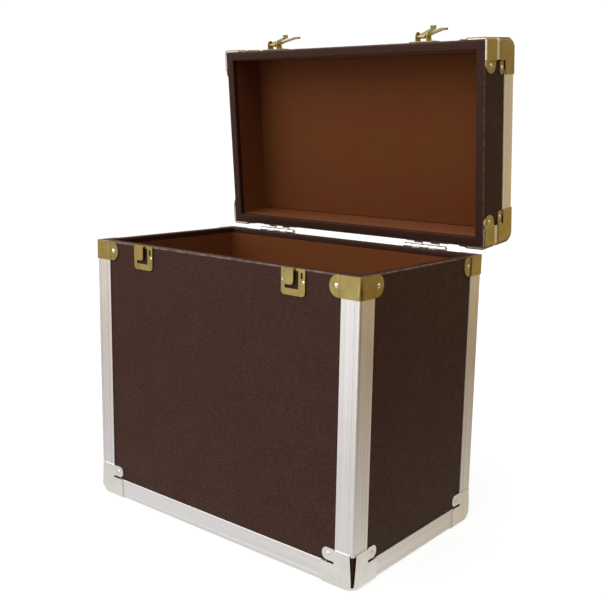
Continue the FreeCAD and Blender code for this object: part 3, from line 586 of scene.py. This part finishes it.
def moulded_handle():
    """Swept handle with an oval grip, finger ridges on its inner side, a mould line and bored eyes."""
    line, pin, arm_x = handle_line()
    code = bmesh.new()
    rings = []
    for point, along, share in line:
        inwards = Vector((along.y, -along.x, 0))
        inner, outer, thick = handle_section(share)
        ring = []
        for k in range(HANDLE_SIDES):
            angle = 2 * math.pi * k / HANDLE_SIDES
            across = math.cos(angle)
            reach = across * (inner if across > 0 else outer)
            if k in (0, HANDLE_SIDES // 2):
                reach += math.copysign(MOULD_LINE, across)
            rise = math.sin(angle) * thick
            ring.append(code.verts.new(point + inwards * reach + Vector((0, 0, rise))))
        rings.append(ring)
    for first, second in zip(rings, rings[1:]):
        for k in range(HANDLE_SIDES):
            after = (k + 1) % HANDLE_SIDES
            code.faces.new((first[k], first[after], second[after], second[k]))
    code.faces.new(rings[0])
    code.faces.new(list(reversed(rings[-1])))
    for side in (-1, 1):
        eye(code, Vector((side * arm_x, pin.y, pin.z)))
    made = finished(code, "moulded_handle", OPEN, GRIP_PLASTIC, 50.0)
    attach(made, "handle")
    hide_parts("handle_grip")


def eye(code, centre):
    """Rounded boss bored for the handle's pin, turned about X."""
    outline = arc((EYE_HALF - EYE_ROUND, EYE_RADIUS - EYE_ROUND), EYE_ROUND, 0, 90, 3)
    outline += [(-x, y) for x, y in reversed(outline)]
    outline += [(-EYE_HALF, EYE_BORE), (EYE_HALF, EYE_BORE)]
    rings = []
    for k in range(EYE_SIDES):
        angle = 2 * math.pi * k / EYE_SIDES
        rings.append([code.verts.new(centre + Vector((x, y * math.cos(angle), y * math.sin(angle))))
                      for x, y in outline])
    for k in range(EYE_SIDES):
        first, second = rings[k], rings[(k + 1) % EYE_SIDES]
        for i in range(len(outline)):
            j = (i + 1) % len(outline)
            code.faces.new((first[i], first[j], second[j], second[i]))


moulded_handle()


# ---------------------------------------------------------------- CAD nodes that stay

def dress(node, material, soft_width=0.0):
    """Give a CAD node its material and, where asked, softly rounded edges."""
    held = frame["nodes"][node]
    held.data.materials.clear()
    held.data.materials.append(material)
    if soft_width:
        weld = held.modifiers.new("weld", "WELD")
        weld.merge_threshold = WELD_REACH
        soft = held.modifiers.new("soft_edges", "BEVEL")
        soft.width = soft_width
        soft.segments = 3
        soft.limit_method = "ANGLE"
        soft.angle_limit = math.radians(SOFT_FROM_DEG)


dress("body_base_board", LEATHERETTE)
dress("lid_top_board", LEATHERETTE)

RUNS = {"x": 0, "y": 1, "z": 2}
ALUMINIUM = {}
for tilted in (False, True):
    for run, axis in RUNS.items():
        label = f"aluminium_{'lid' if tilted else 'body'}_{run}"
        ALUMINIUM[tilted, run] = aluminium(label, axis, LID_TILT if tilted else 0.0)
for corner in ("front_left", "front_right", "rear_left", "rear_right"):
    dress("body_edging_" + corner, ALUMINIUM[False, "z"])
    dress("body_corner_" + corner, NICKEL, CORNER_SOFT)
    dress("lid_corner_" + corner, BRASS_TONE, CORNER_SOFT)
dress("lid_corner_edgings", ALUMINIUM[True, "z"])
for side in ("front", "rear", "left", "right"):
    run = "x" if side in ("front", "rear") else "y"
    dress("body_base_edging_" + side, ALUMINIUM[False, run])
    dress("lid_top_edging_" + side, ALUMINIUM[True, run])
dress("body_rim_caps", BRASS_TONE, CAP_SOFT)
dress("lid_rim_caps", BRASS_TONE, CAP_SOFT)
dress("body_rivets", RIVET_PLATE)
dress("lid_rivets", RIVET_PLATE)
dress("hinge_pins", HINGE_STEEL)
dress("handle_pins", NICKEL)
dress("latch_pivots", BRASS_TONE)
for side in ("left", "right"):
    dress("keeper_" + side, BRASS_TONE, CAP_SOFT)
    dress("hinge_body_leaf_" + side, HINGE_STEEL, FITTING_SOFT)
    dress("hinge_lid_leaf_" + side, HINGE_STEEL, FITTING_SOFT)
    dress("latch_base_" + side, BRASS_TONE, FITTING_SOFT)
    dress("latch_lever_" + side, BRASS_TONE, FITTING_SOFT)
    dress("latch_claw_" + side, BRASS_TONE, FITTING_SOFT)
    dress("latch_claw_pin_" + side, BRASS_TONE)
    dress("handle_bracket_" + side, NICKEL, FITTING_SOFT)


# ---------------------------------------------------------------- stage, light and camera

def panel(name, height, size, material):
    """Square of the stage, level and centred under the object."""
    code = bmesh.new()
    bmesh.ops.create_grid(code, x_segments=1, y_segments=1, size=size / 2)
    made = finished(code, name, Matrix.Translation((0.0, 0.0, height)), material)
    return made


def floor():
    """White floor that shows a breath of shadow, over a pale one that lights the object from below."""
    seen = Surface("white_floor", Roughness=0.7, Specular_IOR_Level=0.0)
    seen.set("Base Color", FLOOR_GREY)
    seen.set("Emission Color", colour(1.0, 1.0, 1.0))
    seen.set("Emission Strength", FLOOR_GLOW)
    top = panel("white_floor", SEEN_LEVEL, STAGE, seen.made)
    top.visible_glossy = False
    top.visible_diffuse = False
    top.visible_shadow = False
    pale = Surface("pale_floor", Roughness=0.7, Specular_IOR_Level=0.2)
    pale.set("Base Color", FLOOR_PALE)
    under = panel("pale_floor", BOUNCE_LEVEL, NEAR_FLOOR, pale.made)
    under.visible_glossy = False
    under.visible_camera = False


def ramp(tree, value, low, high):
    """Smooth 0 to 1 as the value goes from low to high."""
    made = tree.nodes.new("ShaderNodeMapRange")
    made.interpolation_type = "SMOOTHSTEP"
    tree.links.new(value, made.inputs[0])
    made.inputs[1].default_value = low
    made.inputs[2].default_value = high
    return made.outputs[0]


def mixed(tree, factor, first, second):
    """Colour between two colours or sockets."""
    made = tree.nodes.new("ShaderNodeMix")
    made.data_type = "RGBA"
    tree.links.new(factor, made.inputs[MIX_FACTOR])
    for place, tone in ((MIX_FIRST, first), (MIX_SECOND, second)):
        if isinstance(tone, bpy.types.NodeSocket):
            tree.links.new(tone, made.inputs[place])
        else:
            made.inputs[place].default_value = colour(*tone)
    return made.outputs[MIX_COLOUR]


def room_tone(tree, direction, base, parts):
    """Colour of the room in a direction: a base tone under its smooth parts."""
    tone = base
    for towards, part, start, end in parts:
        facing = tree.nodes.new("ShaderNodeVectorMath")
        facing.operation = "DOT_PRODUCT"
        tree.links.new(direction, facing.inputs[0])
        facing.inputs[1].default_value = Vector(towards).normalized()
        tone = mixed(tree, ramp(tree, facing.outputs["Value"], start, end), tone, part)
    return tone


def reflected_floor():
    """What glossy surfaces see of the floor: brightest close by, and the room's own tones farther off."""
    made = bpy.data.materials.new("reflected_floor")
    made.use_nodes = True
    tree = made.node_tree
    tree.nodes.clear()
    place = tree.nodes.new("ShaderNodeTexCoord").outputs["Object"]
    away = tree.nodes.new("ShaderNodeVectorMath")
    away.operation = "NORMALIZE"
    tree.links.new(place, away.inputs[0])
    distance = tree.nodes.new("ShaderNodeVectorMath")
    distance.operation = "LENGTH"
    tree.links.new(place, distance.inputs[0])
    reach = distance.outputs["Value"]
    far = mixed(tree, ramp(tree, reach, *MIDDLE_TO_FAR), MIDDLE_FLOOR_TONE, FAR_FLOOR_TONE)
    around = room_tone(tree, away.outputs[0], far, FLOOR_PARTS)
    close = room_tone(tree, away.outputs[0], CLOSE_FLOOR_TONE, CLOSE_FLOOR_PARTS)
    near = room_tone(tree, away.outputs[0], NEAR_FLOOR_TONE, NEAR_FLOOR_PARTS)
    near = mixed(tree, ramp(tree, reach, *CLOSE_TO_NEAR), close, near)
    tone = mixed(tree, ramp(tree, reach, *NEAR_TO_MIDDLE), near, around)
    glow = tree.nodes.new("ShaderNodeEmission")
    tree.links.new(tone, glow.inputs["Color"])
    out = tree.nodes.new("ShaderNodeOutputMaterial")
    tree.links.new(glow.outputs[0], out.inputs["Surface"])
    card = panel("reflected_floor", REFLECTED_LEVEL, STAGE, made)
    card.visible_camera = False
    card.visible_diffuse = False
    card.visible_shadow = False
    card.visible_transmission = False


def soft_light(name, direction, spread_deg, strength):
    """Very wide distant lamp, as even as a window wall, shining from a direction."""
    lamp = bpy.data.lights.new(name, "SUN")
    lamp.angle = math.radians(spread_deg)
    lamp.energy = strength
    made = bpy.data.objects.new(name, lamp)
    bpy.context.scene.collection.objects.link(made)
    made.rotation_euler = Vector(direction).to_track_quat("Z", "Y").to_euler()


def surroundings():
    """White to the camera. To the object, a room bright in front, left and above, and dim to the right."""
    world = bpy.data.worlds.new("soft_room")
    bpy.context.scene.world = world
    world.use_nodes = True
    tree = world.node_tree
    tree.nodes.clear()
    direction = tree.nodes.new("ShaderNodeTexCoord").outputs["Generated"]
    rays = tree.nodes.new("ShaderNodeLightPath").outputs
    lit = room_tone(tree, direction, ROOM_BASE, ROOM_PARTS)
    reflected = room_tone(tree, direction, REFLECTED_BASE, ROOM_PARTS)
    room = mixed(tree, rays["Is Glossy Ray"], lit, reflected)
    seen = mixed(tree, rays["Is Camera Ray"], room, BACKDROP)
    background = tree.nodes.new("ShaderNodeBackground")
    tree.links.new(seen, background.inputs["Color"])
    out = tree.nodes.new("ShaderNodeOutputWorld")
    tree.links.new(background.outputs[0], out.inputs["Surface"])


def camera():
    """Camera in front and to the right, slightly above, rolled a little as a hand holds it."""
    lens = bpy.data.cameras.new("camera")
    lens.lens = CAMERA_LENS
    lens.sensor_width = 36.0
    lens.shift_x, lens.shift_y = CAMERA_SHIFT
    made = bpy.data.objects.new("camera", lens)
    bpy.context.scene.collection.objects.link(made)
    turn = (Matrix.Rotation(math.radians(CAMERA_AZIMUTH), 4, "Z")
            @ Matrix.Rotation(math.radians(90 - CAMERA_ELEVATION), 4, "X")
            @ Matrix.Rotation(math.radians(CAMERA_ROLL), 4, "Z"))
    made.matrix_world = Matrix.Translation(CAMERA_PLACE) @ turn
    bpy.context.scene.camera = made


floor()
reflected_floor()
surroundings()
soft_light("key", *KEY)
soft_light("fill", *FILL)
camera()
bpy.context.scene.view_settings.view_transform = "Standard"
